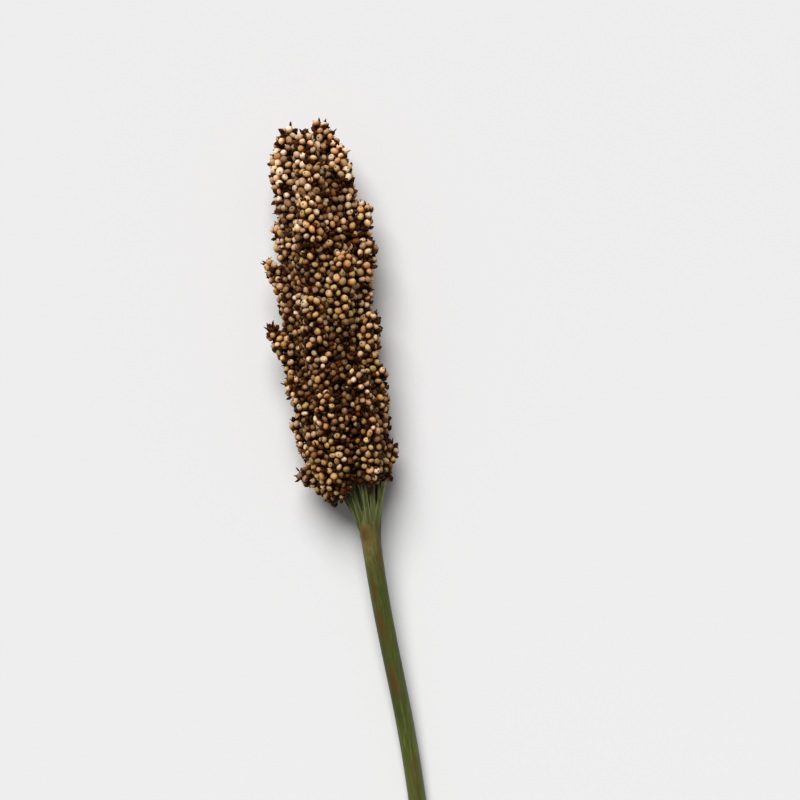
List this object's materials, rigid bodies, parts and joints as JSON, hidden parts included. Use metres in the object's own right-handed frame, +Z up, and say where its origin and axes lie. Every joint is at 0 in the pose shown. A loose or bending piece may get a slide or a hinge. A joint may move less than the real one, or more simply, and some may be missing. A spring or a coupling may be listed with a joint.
{
  "type": "sorghum seed head",
  "caption": "Sorghum seed head, cut with its green stalk and lying down: a long dense head of round tan-brown grains above a stalk that parts into rays.",
  "frame": {"origin": "the resting spot: on the surface, under the middle of the head, at the stalk's middle line", "axes": "+Z up from the surface, +Y along the stalk towards the head's tip, +X to the right seen from above with the tip up"},
  "size_m": [0.0654, 0.3603, 0.0519],
  "materials": {
    "stalk": "fresh green stalk, satin, finely ribbed, with yellow-green streaks and a few red-brown blotches",
    "grain": "ripe tan to orange-brown grains with a satin skin, dark brown husks between them"
  },
  "bodies": {
    "root": {"stalk": "stalk", "seed_head": "grain"}
  },
  "joints": []
}
